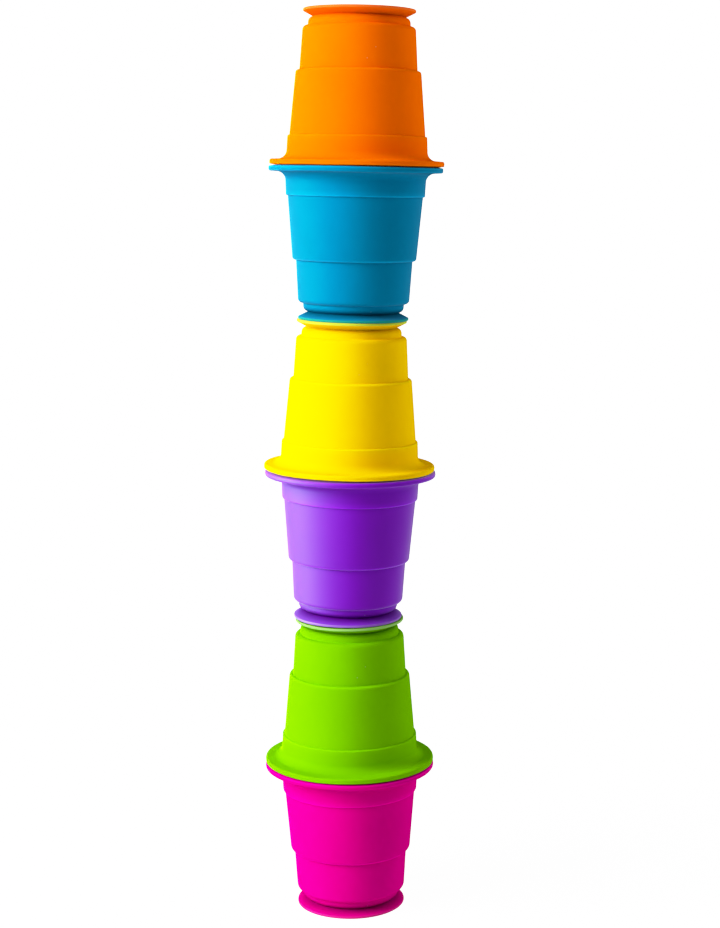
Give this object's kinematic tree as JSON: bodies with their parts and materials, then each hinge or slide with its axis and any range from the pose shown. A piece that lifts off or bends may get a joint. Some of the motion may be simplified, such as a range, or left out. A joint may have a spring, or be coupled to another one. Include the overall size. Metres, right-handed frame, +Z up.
{
  "type": "stacking cup tower",
  "caption": "Tower of equal stepped silicone cups with wide flat rims and suction feet, stood alternately upright and upside down, rim to rim and foot to foot.",
  "frame": {"origin": "centre of the suction foot's contact ring that the tower stands on, in the plane of the table", "axes": "+Z is up, along the axis of the bottom cup; +X is the side that the upper cups lean towards"},
  "size_m": [0.0889, 0.0824, 0.4358],
  "materials": {
    "magenta_silicone": "matt moulded silicone",
    "green_silicone": "matt moulded silicone",
    "purple_silicone": "matt moulded silicone",
    "yellow_silicone": "matt moulded silicone",
    "blue_silicone": "matt moulded silicone",
    "orange_silicone": "matt moulded silicone"
  },
  "bodies": {
    "magenta_cup": {"magenta_cup": "magenta_silicone"},
    "green_cup": {"green_cup": "green_silicone"},
    "purple_cup": {"purple_cup": "purple_silicone"},
    "yellow_cup": {"yellow_cup": "yellow_silicone"},
    "blue_cup": {"blue_cup": "blue_silicone"},
    "orange_cup": {"orange_cup": "orange_silicone"}
  },
  "joints": [
    {"name": "green_lift", "type": "slide", "parent": "magenta_cup", "child": "green_cup", "axis": [0.0087, 0, 1], "range_m": [0, 0.0724]},
    {"name": "purple_lift", "type": "slide", "parent": "green_cup", "child": "purple_cup", "axis": [0.027, 0, 0.9996], "range_m": [0, 0.0724]},
    {"name": "yellow_lift", "type": "slide", "parent": "purple_cup", "child": "yellow_cup", "axis": [0.027, 0, 0.9996], "range_m": [0, 0.0724]},
    {"name": "blue_lift", "type": "slide", "parent": "yellow_cup", "child": "blue_cup", "axis": [0.027, 0, 0.9996], "range_m": [0, 0.0724]},
    {"name": "orange_lift", "type": "slide", "parent": "blue_cup", "child": "orange_cup", "axis": [0.027, 0, 0.9996], "range_m": [0, 0.0724]}
  ]
}
